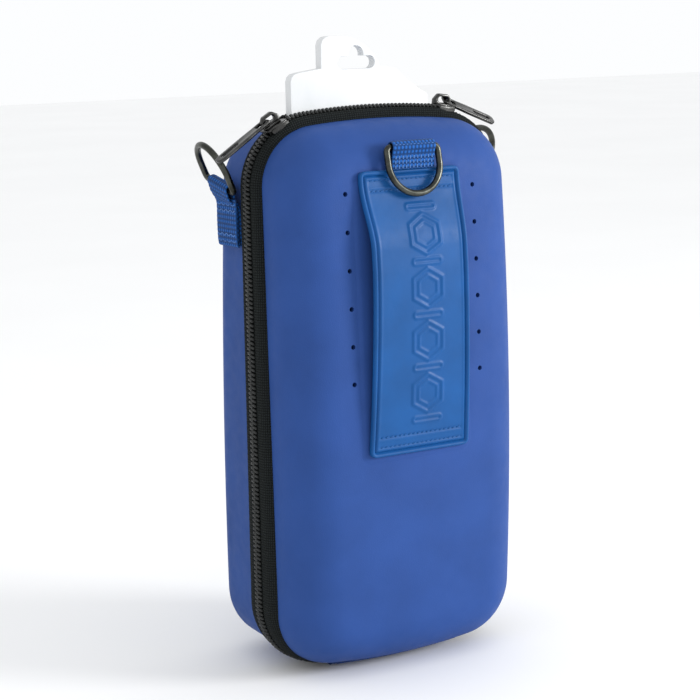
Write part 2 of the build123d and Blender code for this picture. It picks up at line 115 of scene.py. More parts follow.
class Shader:
    """A Principled material whose colour and relief come from procedural nodes."""

    def __init__(self, name, rough, metallic=0.0, sheen=0.0, specular=0.5, coat=0.0, coords="Object"):
        material = MATERIALS[name] = bpy.data.materials.new(name)
        material.use_nodes = True
        self.nodes, self.links = material.node_tree.nodes, material.node_tree.links
        self.bsdf = self.nodes["Principled BSDF"]
        self.feed(self.bsdf, {
            "Roughness": rough, "Metallic": metallic, "Sheen Weight": sheen, "Sheen Roughness": 0.5,
            "Specular IOR Level": specular, "Coat Weight": coat, "Coat Roughness": 0.2,
        })
        self.place = self.add("TexCoord", {}).outputs[coords]

    def feed(self, node, inputs):
        """Link each input that is given as a socket and set each other one."""
        for name, value in inputs.items():
            if isinstance(value, bpy.types.NodeSocket):
                self.links.new(value, node.inputs[name])
            else:
                node.inputs[name].default_value = value

    def add(self, kind, inputs):
        node = self.nodes.new(f"ShaderNode{kind}")
        self.feed(node, inputs)
        return node

    def scaled(self, x, y, z):
        """Coordinates stretched by a factor each way."""
        return self.add("Mapping", {"Vector": self.place, "Scale": (x, y, z)}).outputs["Vector"]

    def noise(self, scale, detail=3.0, rough=0.55, where=None):
        inputs = {"Vector": where or self.place, "Scale": scale, "Detail": detail, "Roughness": rough}
        return self.add("TexNoise", inputs).outputs["Fac"]

    def cells(self, scale):
        return self.add("TexVoronoi", {"Vector": self.place, "Scale": scale}).outputs["Distance"]

    def waves(self, scale, axis, distortion=0.0):
        inputs = {"Vector": self.place, "Scale": scale, "Distortion": distortion}
        node = self.add("TexWave", inputs)
        node.bands_direction = axis
        return node.outputs["Fac"]

    def math(self, operation, a, b):
        node = self.add("Math", {0: a, 1: b})
        node.operation = operation
        return node.outputs[0]

    def colours(self, factor, *stops):
        """Base colour from a ramp; each stop is (place, (r, g, b))."""
        ramp = self.add("ValToRGB", {"Fac": factor})
        while len(ramp.color_ramp.elements) < len(stops):
            ramp.color_ramp.elements.new(0.5)
        for element, (at, colour) in zip(ramp.color_ramp.elements, stops):
            element.position = at
            element.color = (*colour, 1)
        self.feed(self.bsdf, {"Base Color": ramp.outputs["Color"]})

    def roughness(self, factor, low, high):
        """Roughness from low to high over the range that a noise mostly fills."""
        limits = {"From Min": 0.3, "From Max": 0.7, "To Min": low, "To Max": high}
        span = self.add("MapRange", {"Value": factor, **limits})
        self.feed(self.bsdf, {"Roughness": span.outputs["Result"]})

    def relief(self, *layers):
        """Bump layers, each on the one before; each is (height output, depth in millimetres)."""
        below = {}
        for height, depth in layers:
            bump = self.add("Bump", {"Strength": 1.0, "Distance": depth * MM, "Height": height, **below})
            below = {"Normal": bump.outputs["Normal"]}
        self.feed(self.bsdf, below)


BAND = 0.1 * pi                   # scale of a wave texture whose period is one unit
WEB_RIB, WEB_COLUMN = 2.3, 2.1


def tint(colour, factor):
    """Colour made darker or lighter."""
    return tuple(min(channel * factor, 1.0) for channel in colour)


SHELL_BLUE = (0.025, 0.070, 0.258)
LOOP_BLUE = (0.005, 0.076, 0.262)
WEBBING_BLUE = (0.008, 0.083, 0.320)
TAPE_BLACK = (0.005, 0.006, 0.006)


def shell_material():
    """Fine-grained laminate over foam, faintly mottled."""
    s = Shader("shell_skin", 0.6, specular=0.12)
    patches = s.noise(28, 4)
    s.colours(patches, (0.3, tint(SHELL_BLUE, 0.90)), (0.7, tint(SHELL_BLUE, 1.08)))
    s.roughness(s.noise(160, 3), 0.50, 0.64)
    s.relief((s.noise(9, 2), 0.5), (s.cells(1500), 0.03), (s.noise(2600, 3), 0.03))


def loop_material():
    """Moulded satin skin of the belt loop."""
    s = Shader("belt_loop_skin", 0.42, specular=0.2)
    s.colours(s.noise(45, 4), (0.3, tint(LOOP_BLUE, 0.88)), (0.7, tint(LOOP_BLUE, 1.1)))
    s.roughness(s.noise(220, 3), 0.36, 0.5)
    s.relief((s.noise(60, 3), 0.12), (s.noise(2400, 3), 0.02))


def thread_material(name, colour):
    """Twisted sewing thread."""
    s = Shader(name, 0.5, sheen=0.1, specular=0.2)
    twist = s.waves(1400, "DIAGONAL", 1.0)
    s.colours(twist, (0.0, tint(colour, 0.7)), (1.0, tint(colour, 1.5)))
    s.relief((twist, 0.06))


def webbing_material():
    """Woven webbing: fine warp lines over the ribs of the mesh."""
    s = Shader("webbing", 0.6, sheen=0.05, specular=0.15, coords="UV")
    strands = s.math("MULTIPLY", s.waves(BAND / WEB_COLUMN, "X"), s.waves(BAND / WEB_RIB, "Y"))
    fibre = s.waves(BAND / 0.5, "X", 0.3)
    s.colours(strands, (0.05, tint(WEBBING_BLUE, 0.5)), (0.75, tint(WEBBING_BLUE, 1.4)))
    s.relief((fibre, 0.1), (s.noise(3, 3), 0.06))


def tape_material():
    """Black woven zip tape with a herringbone grain."""
    s = Shader("zip_tape", 0.85, specular=0.08, coords="UV")
    along = s.waves(BAND / 1.3, "X", 0.6)
    across = s.waves(BAND / 1.1, "Y", 0.4)
    weave = s.math("ADD", s.math("MULTIPLY", along, across), s.noise(1.6, 3, 0.7))
    s.colours(weave, (0.35, tint(TAPE_BLACK, 0.3)), (1.0, tint(TAPE_BLACK, 4.2)))
    s.relief((weave, 0.3))


def coil_material():
    """Moulded nylon coil, black with a slight shine."""
    s = Shader("zip_coil", 0.42, specular=0.3)
    worn = s.noise(500, 3)
    s.colours(worn, (0.35, (0.006, 0.007, 0.007)), (0.75, (0.022, 0.024, 0.023)))
    s.roughness(s.noise(300, 2), 0.34, 0.55)
    s.relief((s.noise(1800, 2), 0.04))


def elastic_material():
    """Black knitted elastic, ribbed one way."""
    s = Shader("elastic", 0.75, sheen=0.1, specular=0.2, coords="UV")
    ribs = s.waves(0.4, "Y")
    s.colours(ribs, (0.0, (0.014, 0.014, 0.016)), (1.0, (0.060, 0.062, 0.068)))
    s.relief((ribs, 0.2), (s.noise(1.5, 3), 0.05))


def lining_material():
    """Charcoal brushed knit."""
    s = Shader("lining", 0.92, sheen=0.2, specular=0.1)
    nap = s.noise(420, 5, 0.7)
    s.colours(nap, (0.3, (0.016, 0.017, 0.020)), (0.75, (0.050, 0.052, 0.058)))
    s.relief((nap, 0.25), (s.noise(2200, 3), 0.06))


def hinge_material():
    """Blue woven hinge cloth."""
    s = Shader("hinge_fabric", 0.7, sheen=0.06, specular=0.15)
    weave = s.math("MULTIPLY", s.waves(190, "X"), s.waves(190, "Y"))
    s.colours(weave, (0.0, tint(SHELL_BLUE, 0.55)), (0.8, tint(SHELL_BLUE, 1.0)))
    s.relief((weave, 0.12))


def mesh_material():
    s = Shader("mesh", 0.7, sheen=0.1, specular=0.2)
    twist = s.waves(900, "DIAGONAL", 2.0)
    s.colours(twist, (0.0, (0.020, 0.020, 0.022)), (1.0, (0.070, 0.070, 0.076)))
    s.relief((twist, 0.05))


def ring_material():
    """Metal wire, kept dark as a painted reflection of dark surroundings, rubbed lighter in places."""
    s = Shader("ring_metal", 0.3, metallic=1.0)
    rubbed = s.noise(110, 5, 0.65)
    # painted reflection: the dark base colours stand in for dark surroundings reflected in the metal;
    # the lighter patches are rubbed wear
    s.colours(rubbed, (0.35, (0.030, 0.031, 0.027)), (0.75, (0.11, 0.115, 0.10)))
    s.roughness(s.noise(260, 4), 0.24, 0.42)
    s.relief((s.noise(1300, 3), 0.02))


def slider_material():
    """Polished metal with fine scratches, kept dark as a painted reflection of dark surroundings."""
    s = Shader("slider_metal", 0.2, metallic=1.0, coat=0.15)
    scratches = s.noise(260, 5, 0.6, s.scaled(1, 1, 9))
    # painted reflection: these dark base colours stand in for dark surroundings reflected in the metal
    s.colours(s.noise(150, 4), (0.3, (0.022, 0.022, 0.021)), (0.75, (0.085, 0.085, 0.083)))
    s.roughness(scratches, 0.14, 0.34)
    s.relief((scratches, 0.01))


def card_material():
    """Coated white board with a soft fibre."""
    s = Shader("card", 0.5, coat=0.1)
    fibre = s.noise(90, 5, 0.6, s.scaled(1, 1, 0.35))
    s.colours(fibre, (0.3, (0.66, 0.68, 0.69)), (0.75, (0.71, 0.72, 0.73)))
    s.roughness(s.noise(600, 2), 0.44, 0.58)
    s.relief((s.noise(1600, 3), 0.012), (fibre, 0.05))


def floor_material():
    s = Shader("floor", 0.8, specular=0.2)
    s.colours(s.noise(3, 2), (0.3, (0.93, 0.93, 0.93)), (0.7, (0.95, 0.95, 0.95)))
    s.relief((s.noise(400, 3), 0.03))


for make in (
    shell_material, loop_material, webbing_material, tape_material, coil_material, elastic_material,
    lining_material, hinge_material, mesh_material, ring_material, slider_material, card_material,
    floor_material,
):
    make()
thread_material("loop_thread", LOOP_BLUE)
thread_material("webbing_thread", (0.070, 0.180, 0.460))
thread_material("dark_thread", (0.020, 0.020, 0.022))


# ---- mesh helpers
def face_outwards(mesh):
    """Turn the faces of a closed mesh outwards."""
    work = bmesh.new()
    work.from_mesh(mesh)
    bmesh.ops.recalc_face_normals(work, faces=work.faces)
    work.to_mesh(mesh)
    work.free()
    return mesh


def add_piece(name, verts, faces, slot, body, replaces=(), thread=None, uvs=None, sharp=50):
    """Mesh object from millimetre points, riding on a body."""
    mesh = bpy.data.meshes.new(name)
    mesh.from_pydata((np.asarray(verts, float) * MM).tolist(), [], [list(f) for f in faces])
    if uvs is not None:
        layer = mesh.uv_layers.new(name="UVMap")
        loops = np.zeros(len(mesh.loops), int)
        mesh.loops.foreach_get("vertex_index", loops)
        layer.data.foreach_set("uv", np.asarray(uvs, float)[loops].ravel())
    return finish_piece(face_outwards(mesh), name, slot, body, replaces, thread, sharp)


def finish_piece(mesh, name, slot, body, replaces=(), thread=None, sharp=50):
    """Shade, paint and place a finished mesh; thread names a material other than the slot's."""
    mesh.shade_smooth()
    if sharp:
        mesh.set_sharp_from_angle(angle=radians(sharp))
    mesh.materials.clear()
    mesh.materials.append(MATERIALS[thread or slot])
    piece = in_scene(name, mesh)
    if body:
        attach(piece, body)
    if replaces:
        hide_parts(*replaces)
    return piece


def grid_faces(rows, cols, wrap=False):
    """Quads of a grid of rows by cols points; wrap joins the last column to the first."""
    last = cols if wrap else cols - 1
    return [
        (r * cols + c, r * cols + (c + 1) % cols, (r + 1) * cols + (c + 1) % cols, (r + 1) * cols + c)
        for r in range(rows - 1)
        for c in range(last)
    ]


def tube_faces(rings, sides):
    """Faces of a tube of rings, with a cap at each end."""
    caps = [tuple(range(sides)), tuple(range((rings - 1) * sides, rings * sides))]
    return grid_faces(rings, sides, wrap=True) + caps


class Batch:
    """Many small solids gathered into one mesh."""

    def __init__(self):
        self.verts, self.faces = [], []

    def add(self, verts, faces):
        base = len(self.verts)
        self.verts.extend(verts)
        self.faces.extend([tuple(base + i for i in face) for face in faces])

    def capsule(self, start, end, width, height, up, sides=8):
        """Rounded bar from start to end with an elliptical section."""
        start, end, up = Vector(start), Vector(end), Vector(up)
        along = end - start
        middle = (start + end) / 2
        across = along.normalized().cross(up).normalized()
        rise = across.cross(along.normalized())
        rings = ((-0.5, 0.25), (-0.46, 0.7), (-0.34, 1), (0.34, 1), (0.46, 0.7), (0.5, 0.25))
        verts = []
        for at, size in rings:
            for k in range(sides):
                turn = 2 * pi * k / sides
                offset = across * (cos(turn) * width / 2 * size) + rise * (sin(turn) * height / 2 * size)
                verts.append(middle + along * at + offset)
        self.add(verts, tube_faces(len(rings), sides))

    def stitch(self, middle, half, width, height, up, sides=6):
        """Rounded bar that reaches half to each side of its middle."""
        middle, half = Vector(middle), Vector(half)
        self.capsule(middle - half, middle + half, width, height, up, sides)

    def piece(self, name, slot, body, replaces=(), thread=None):
        return add_piece(name, self.verts, self.faces, slot, body, replaces, thread, sharp=60)


def closed_slab(front, back):
    """Slab from two matching grids, each given as its x, y and z, joined round their border."""
    rows, cols = front[0].shape
    size = rows * cols
    faces = grid_faces(rows, cols) + [tuple(size + i for i in f[::-1]) for f in grid_faces(rows, cols)]
    border = list(range(cols)) + [r * cols + cols - 1 for r in range(1, rows)]
    border += [(rows - 1) * cols + c for c in range(cols - 2, -1, -1)]
    border += [r * cols for r in range(rows - 2, 0, -1)]
    for a, b in zip(border, border[1:] + border[:1]):
        faces.append((a, b, size + b, size + a))
    return np.concatenate([np.stack(grid, -1).reshape(-1, 3) for grid in (front, back)]), faces


def smooth_step(x, low, high):
    """0 below low, 1 above high and an even curve between."""
    t = np.clip((np.asarray(x, float) - low) / (high - low), 0, 1)
    return t * t * (3 - 2 * t)


def smooth_path(points, step):
    """Catmull-Rom line through points, sampled about every step millimetres."""
    p = np.asarray(points, float)
    p = np.concatenate([[2 * p[0] - p[1]], p, [2 * p[-1] - p[-2]]])
    line = []
    for a, b, c, d in zip(p, p[1:], p[2:], p[3:]):
        count = max(int(ceil(np.linalg.norm(c - b) / step)), 1)
        for t in np.arange(count) / count:
            line.append(
                0.5 * (2 * b + (c - a) * t + (2 * a - 5 * b + 4 * c - d) * t**2
                       + (3 * b - a - 3 * c + d) * t**3)
            )
    line.append(p[-2])
    return np.array(line)


# ---- moulded shells
END_POINTS, CORNER_POINTS, SIDE_POINTS = 14, 26, 60


def outline_frame():
    """Centres, radii and outward directions round the shells' outline, from the top centre."""
    low_z, top_z, bottom_z = LOW_ARC_Z - FOOT_DROP, CASE_H - END_R, END_R - FOOT_DROP
    runs = (      # centre x, first and last centre z, radius, first and last angle, points
        (0, top_z, top_z, END_R, pi / 2, CORNER_TURN, END_POINTS),
        (ARC_X, ARC_Z, ARC_Z, CORNER_R, CORNER_TURN, 0, CORNER_POINTS),
        (ARC_X, ARC_Z, low_z, CORNER_R, 0, 0, SIDE_POINTS),
        (ARC_X, low_z, low_z, CORNER_R, 0, -CORNER_TURN, CORNER_POINTS),
        (0, bottom_z, bottom_z, END_R, -CORNER_TURN, -pi / 2, END_POINTS),
    )
    half = []
    for x, z_from, z_to, r, a_from, a_to, count in runs:
        for share in np.arange(count) / count:
            half.append((x, z_from + (z_to - z_from) * share, r, a_from + (a_to - a_from) * share))
    half.append((0, bottom_z, END_R, -pi / 2))
    mirrored = [(-x, z, r, pi - a) for x, z, r, a in half[-2:0:-1]]
    return np.array(half + mirrored)


OUTLINE = outline_frame()
OUTLINE_COUNT = len(OUTLINE)


def outline_points(inset):
    """Outline moved inwards, as (x, z)."""
    cx, cz, r, a = OUTLINE.T
    return np.stack([cx + (r - inset) * np.cos(a), cz + (r - inset) * np.sin(a)], -1)


def face_depth(side, x, z, inset=0.0):
    """Distance of a half's large face from the zip plane."""
    depth, deepest_z, drop, _ = FORMS[side]
    return depth - inset - drop * ((z - deepest_z) / (CASE_H - deepest_z)) ** 2 - x**2 / (2 * CROWN_R)


def rim_distance(z):
    """Distance of the rim from the zip plane, wider at the bottom than at the top."""
    share = np.clip((np.asarray(z, float) - LOW_ARC_Z) / (ARC_Z - LOW_ARC_Z), 0, 1)
    return RIM_BOTTOM_Y + (RIM_TOP_Y - RIM_BOTTOM_Y) * share


WALL_ROWS, EDGE_ROWS, FACE_ROWS = 7, 13, 12
CLOSING_X, CLOSING_Z = 0.96, 0.62      # how far the face's last row has closed in


def moulded_rows(side, inset, start):
    """Rows of points from near the rim (start mm from it) over the edge to the middle."""
    edge_r = FORMS[side][3] - inset
    base = RIM_INSET + inset
    wall = outline_points(base)
    wall_top = face_depth(side, wall[:, 0], wall[:, 1], inset) - edge_r
    first = rim_distance(wall[:, 1]) + start
    rows = []
    for share in np.linspace(0, 1, WALL_ROWS):
        y = first + (wall_top - first) * share
        rows.append((outline_points(base + DRAFT * (y - RIM_TOP_Y)), y))
    lean = DRAFT * (wall_top - RIM_TOP_Y)
    for turn in np.linspace(0, pi / 2, EDGE_ROWS)[1:]:
        points = outline_points(base + lean + edge_r * (1 - cos(turn)))
        y = face_depth(side, points[:, 0], points[:, 1], inset) - edge_r * (1 - sin(turn))
        rows.append((points, y))
    last = rows[-1][0]
    middle_z = CASE_H / 2
    for share in np.linspace(0, 1, FACE_ROWS)[1:]:
        x = last[:, 0] * (1 - CLOSING_X * share)
        z = last[:, 1] + (middle_z + (last[:, 1] - middle_z) * CLOSING_Z - last[:, 1]) * share
        rows.append((np.stack([x, z], -1), face_depth(side, x, z, inset)))
    return [np.stack([p[:, 0], side * y, p[:, 1]], -1) for p, y in rows]


def moulded_piece(name, side, outer, inner, lip, slot, replaces):
    """Shell between two insets; lip is its rim's section as (share of wall, off the rim)."""
    outside = moulded_rows(side, outer, lip[0][1])
    inside = moulded_rows(side, inner, lip[-1][1])
    rim_rows = []
    for share, off in lip[1:-1]:
        inset = outer + (inner - outer) * share
        p = outline_points(RIM_INSET + inset)
        rim_rows.append(np.stack([p[:, 0], side * (rim_distance(p[:, 1]) + off), p[:, 1]], -1))
    rows = outside[::-1] + rim_rows + inside
    n = OUTLINE_COUNT
    faces = grid_faces(len(rows), n, wrap=True)
    for base in (0, (len(rows) - 1) * n):
        cap = [(i, i + 1, n - i - 1, n - i) for i in range(1, n // 2 - 1)]
        cap += [(0, 1, n - 1), (n // 2 - 1, n // 2, n // 2 + 1)]
        faces += [tuple(base + i for i in face) for face in cap]
    return add_piece(name, np.concatenate(rows), faces, slot, BODY_OF_HALF[side], replaces, sharp=40)


VENT_D, VENT_PITCH, VENT_SPACING, VENT_TOP_Z, VENT_ROWS = 2.4, 18.6, 74.5, 246.2, 6
VENT_PIN_Y, VENT_PIN_LENGTH = -35, 30
SHELL_LIP = (
    (0, 1.3), (0.04, 0.6), (0.14, 0.15), (0.3, 0), (0.7, 0), (0.88, 0.12), (0.97, 0.45), (1, 0.9))
LINING_GAP, LINING_DEPTH = 0.05, 0.8                          # off the shell's inner face
LINING_LIP = ((0, 0.5), (0.3, 0.1), (0.7, 0.1), (1, 0.5))


def cut_vents(shell):
    """Two columns of round vent holes through the front shell."""
    pins = bmesh.new()
    for column in (LEFT, RIGHT):
        for row in range(VENT_ROWS):
            z = VENT_TOP_Z - row * VENT_PITCH
            place = Matrix.Translation(Vector((column * VENT_SPACING / 2, VENT_PIN_Y, z)) * MM)
            bmesh.ops.create_cone(
                pins, cap_ends=True, segments=32, radius1=VENT_D / 2 * MM, radius2=VENT_D / 2 * MM,
                depth=VENT_PIN_LENGTH * MM, matrix=place @ Matrix.Rotation(pi / 2, 4, "X"),
            )
    cutter_mesh = bpy.data.meshes.new("vent_pins")
    pins.to_mesh(cutter_mesh)
    pins.free()
    cutter = in_scene("vent_pins", cutter_mesh)
    modifier = shell.modifiers.new("vents", "BOOLEAN")
    modifier.operation, modifier.object, modifier.solver = "DIFFERENCE", cutter, "EXACT"
    apply_modifiers(shell)
    bpy.data.objects.remove(cutter)
    shell.data.set_sharp_from_angle(angle=radians(40))
    normals = shell.modifiers.new("normals", "WEIGHTED_NORMAL")
    normals.keep_sharp, normals.weight = True, 100
    apply_modifiers(shell)


def evaluated_mesh(item):
    """Mesh of an object with its modifiers or bevel worked out."""
    graph = bpy.context.evaluated_depsgraph_get()
    return bpy.data.meshes.new_from_object(item.evaluated_get(graph))


def apply_modifiers(piece):
    mesh = evaluated_mesh(piece)
    piece.modifiers.clear()
    piece.data = mesh


for half in (BACK, FRONT):
    end = END_OF_HALF[half]
    shell = moulded_piece(
        f"{end}_shell_skin", half, 0.0, WALL, SHELL_LIP, "shell_skin", [f"{end}_shell"])
    if half == FRONT:
        cut_vents(shell)
    lining = moulded_piece(
        f"{end}_lining_cloth", half, WALL + LINING_GAP, WALL + LINING_DEPTH, LINING_LIP, "lining",
        [f"{end}_lining"])


# ---- zip
COIL_PITCH = 2.25
COIL_HEAD, COIL_TAIL, COIL_SLANT = -0.55, 3.35, 0.75      # ends of a turn, and its lean
COIL_BAR, COIL_KNOB = (1.55, 1.6), (1.95, 1.45)           # width and height of each section
ZIP_HINGE_HALF = 36.6                 # half of the stretch at the bottom without a zip
OPEN_SHIFT, OPEN_LIFT = 2.7, 2.3      # how far the open zip's edges part and stand up


class ZipPath:
    """The zip outline from the left end of the hinge over the top to the right end."""

    def __init__(self):
        low = -pi / 2
        start = low - ZIP_HINGE_HALF / END_R
        self.parts = [
            (0, END_R, END_R, start, -(pi - CORNER_TURN)),
            (-ARC_X, LOW_ARC_Z, CORNER_R, -(pi - CORNER_TURN), -pi),
            (-ARC_X, None, CORNER_R, ARC_Z - LOW_ARC_Z, 1),
            (-ARC_X, ARC_Z, CORNER_R, pi, pi - CORNER_TURN),
            (0, CASE_H - END_R, END_R, pi - CORNER_TURN, CORNER_TURN),
            (ARC_X, ARC_Z, CORNER_R, CORNER_TURN, 0),
            (ARC_X, None, CORNER_R, ARC_Z - LOW_ARC_Z, -1),
            (ARC_X, LOW_ARC_Z, CORNER_R, 0, -CORNER_TURN),
            (0, END_R, END_R, -CORNER_TURN, low + ZIP_HINGE_HALF / END_R),
        ]
        self.lengths = [
            part[3] if part[1] is None else part[2] * abs(part[4] - part[3]) for part in self.parts
        ]
        self.length = sum(self.lengths)
        corner = sum(self.lengths[:3])
        self.open_from = corner + CORNER_R * (pi - SLIDER_ANGLES[LEFT])
        corner = sum(self.lengths[:5])
        self.open_to = corner + CORNER_R * (CORNER_TURN - SLIDER_ANGLES[RIGHT])

    def at(self, s):
        """Point (x, z), outward direction and rim distance at length s."""
        for part, length in zip(self.parts, self.lengths):
            if s <= length or part is self.parts[-1]:
                break
            s -= length
        cx, cz, r, first, last = part
        if cz is None:
            side = -1 if cx < 0 else 1
            z = LOW_ARC_Z + s if last > 0 else ARC_Z - s
            return np.array([side * HALF_W, z]), np.array([side, 0.0]), float(rim_distance(z))
        a = first + (last - first) * s / length
        out = np.array([cos(a), sin(a)])
        point = np.array([cx, cz]) + r * out
        return point, out, float(rim_distance(cz if r == CORNER_R else point[1]))

    def opening(self, s):
        """0 where the zip is closed, 1 where its rows stand apart."""
        blend = 7.0
        return float(
            smooth_step(s, self.open_from - 1, self.open_from + blend)
            * (1 - smooth_step(s, self.open_to - blend, self.open_to + 1))
        )


zip_path = ZipPath()


def zip_point(s, y, out):
    """Point at length s of the zip, y from its plane and out from its line."""
    point, outward, _ = zip_path.at(s)
    x, z = point + outward * out
    return (x, y, z)


def coil_row(side):
    """Row of coil turns, each a slanted bar with its head at the middle of the zip."""
    batch = Batch()
    count = int(zip_path.length / COIL_PITCH)
    stagger = 0.5 if side == BACK else 0.0
    for k in range(count):
        s = (k + 0.25 + stagger) * COIL_PITCH
        shift = OPEN_SHIFT * zip_path.opening(s)
        lift = OPEN_LIFT * zip_path.opening(s)
        head, tail = COIL_HEAD + shift, COIL_TAIL + shift
        slant = COIL_SLANT * side
        _, outward, _ = zip_path.at(s)
        up = (outward[0], 0, outward[1])
        start = zip_point(s - slant / 2, side * head, lift - 0.85)
        finish = zip_point(s + slant / 2, side * tail, 0.6 * lift - 0.95)
        batch.capsule(start, finish, *COIL_BAR, up)
        knob_from = zip_point(s - slant / 2, side * (head - 0.05), lift - 0.72)
        knob_to = zip_point(s - slant / 4, side * (head + 1.1), 0.9 * lift - 0.72)
        batch.capsule(knob_from, knob_to, *COIL_KNOB, up)
    return batch.piece(
        f"zip_coil_{END_OF_HALF[side]}", "zip_coil", BODY_OF_HALF[side],
        [f"zip_teeth_{END_OF_HALF[side]}"])


def zip_strip(name, side, section, slot, replaces, step=1.2):
    """Closed strip along the zip; section(s, rim, shift) gives its ring of (y, outwards)."""
    count = int(zip_path.length / step) + 1
    verts, uvs = [], []
    for k in range(count):
        s = zip_path.length * k / (count - 1)
        _, _, rim = zip_path.at(s)
        ring = section(s, rim, OPEN_SHIFT * zip_path.opening(s))
        width = 0.0
        for i, (y, out) in enumerate(ring):
            if i:
                width += sqrt((y - ring[i - 1][0]) ** 2 + (out - ring[i - 1][1]) ** 2)
            verts.append(zip_point(s, side * y, out))
            uvs.append((s, width))
    faces = tube_faces(count, len(ring))
    return add_piece(name, verts, faces, slot, BODY_OF_HALF[side], replaces, uvs=uvs, sharp=60)


def tape_ring(s, rim, shift):
    """Tape under the coil, nearly level beyond it, then tucked down under the rim."""
    lift = OPEN_LIFT * shift / OPEN_SHIFT
    top = [(0.25 + shift, lift - 1.75), (1.8 + shift, 0.85 * lift - 1.72),
           (3.4 + shift, 0.6 * lift - 1.35)]
    start, end = (4.1 + shift, 0.5 * lift - 1.0), (rim + 1.0, -RIM_INSET - 0.45)
    for t in (0, 0.12, 0.3, 0.5, 0.65, 0.75, 0.83, 0.9, 0.96, 1.0):
        ripple = 0.06 * sin(s * 2 * pi / 3.4) * sin(pi * t)
        top.append((start[0] + (end[0] - start[0]) * t,
                    start[1] + (end[1] - start[1]) * t**4 + ripple))
    thickness = 0.55
    bottom = [(y, out - thickness) for y, out in top[::-1]]
    return top + bottom


def binding_ring(s, rim, shift):
    """Woven binding folded over the raw edge inside the rim."""
    low, high = -8.9, -6.2
    pucker = 0.1 * sin(s * 2 * pi / 5.2)
    return [
        (rim - 0.1, high), (rim - 1.1, high - 0.1), (rim - 1.7 - pucker, high - 0.7),
        (rim - 1.8 - pucker, low + 0.8), (rim - 1.4, low + 0.1), (rim - 0.6, low),
        (rim - 0.1, low + 0.2),
    ]


for half in (FRONT, BACK):
    end = END_OF_HALF[half]
    coil_row(half)
    tape = zip_strip(f"zip_tape_cloth_{end}", half, tape_ring, "zip_tape", [f"zip_tape_{end}"])
    zip_strip(f"rim_binding_cloth_{end}", half, binding_ring, "elastic", [f"rim_binding_{end}"])


# ---- belt loop
LOOP_X = -1.3
LOOP_HALF_W, LOOP_TOP_Z, LOOP_BOTTOM_Z = 29.0, 256.6, 115.6
LOOP_T, LOOP_STANDOFF, LOOP_NARROWING = 2.0, 6.2, 1.5
LOOP_GAP, LOOP_FIELD_DROP, LOOP_CORNER = 0.3, 0.35, 3.0
STITCH_ROWS = (4.7, 9.8)          # distance of the stitch rows from each end


def loop_share(z):
    """0 where the loop is sewn down, 1 where it stands off, high up near its top."""
    from_top = smooth_step(LOOP_TOP_Z - z, 5, 38)
    from_bottom = 1 - (1 - np.clip((z - LOOP_BOTTOM_Z - 3) / 90, 0, 1)) ** 1.3
    return from_top * from_bottom


def loop_inner_y(z):
    return -face_depth(FRONT, 0, z) - LOOP_GAP - LOOP_STANDOFF * loop_share(z)


def loop_half_width(z):
    return LOOP_HALF_W - LOOP_NARROWING * loop_share(z)


def hexagon_distance(x, z, radius):
    """Signed distance to a hexagon with points up and down."""
    x, z = np.abs(x), np.abs(z)
    return np.maximum(x - radius * sqrt(3) / 2, x * 0.5 + z * sqrt(3) / 2 - radius * sqrt(3) / 2)


def slot_distance(x, z, half_length, radius):
    """Signed distance to a slot that lies along x."""
    x = np.maximum(np.abs(x) - half_length, 0)
    return np.sqrt(x**2 + z**2) - radius


def ridge(distance, width, height):
    """Rounded ridge where a distance is nought."""
    return height * (1 - smooth_step(np.abs(distance), width * 0.35, width))


EMBOSS_X, EMBOSS_PITCH = 3.2, 26.5
HEXAGON_Z, HEXAGON_COUNT = 145.5, 4
HEXAGON_RINGS = ((9.8, 1.15, 0.55), (6.2, 1.0, 0.4))      # radius, ridge's width and height
SLOT_Z, SLOT_COUNT = 132.2, 5


def emboss(x, z):
    """Plain column of outlined hexagons with a short slot above and below each."""
    height = np.zeros_like(x)
    x = x - EMBOSS_X
    for k in range(HEXAGON_COUNT):
        up = z - HEXAGON_Z - k * EMBOSS_PITCH
        for radius, width, rise in HEXAGON_RINGS:
            height = np.maximum(height, ridge(hexagon_distance(x, up, radius), width, rise))
    for k in range(SLOT_COUNT):
        up = z - SLOT_Z - k * EMBOSS_PITCH
        height = np.maximum(height, ridge(slot_distance(x, up, 7.0, 1.3), 0.95, 0.5))
    return height


def depth_inside(x, z, half_w, low, high, corner):
    """Distance inwards from the border of a rectangle with round corners."""
    dx = np.abs(x) - (half_w - corner)
    dz = np.abs(z - (low + high) / 2) - ((high - low) / 2 - corner)
    outside = np.sqrt(np.maximum(dx, 0) ** 2 + np.maximum(dz, 0) ** 2)
    return corner - (outside + np.minimum(np.maximum(dx, dz), 0))


def loop_relief(x, z, half_w):
    """Height of the loop's skin: welt, groove, stitch valleys and emboss."""
    inside = depth_inside(x, z, half_w, LOOP_BOTTOM_Z, LOOP_TOP_Z, LOOP_CORNER)
    height = 0
    for centre, reach, rise in ((0.95, 0.95, 0.7), (2.45, 0.65, -0.7), (3.6, 0.7, 0.25)):
        height = height + rise * np.clip(1 - ((inside - centre) / reach) ** 2, 0, 1)
    from_end = np.minimum(z - LOOP_BOTTOM_Z, LOOP_TOP_Z - z)
    field = smooth_step(inside, 4.2, 5.0)
    for row in STITCH_ROWS:
        height = height - 0.3 * np.exp(-(((from_end - row) / 0.55) ** 2)) * field
    return height + ridge(from_end - 8.2, 0.7, 0.18) * field + emboss(x, z)


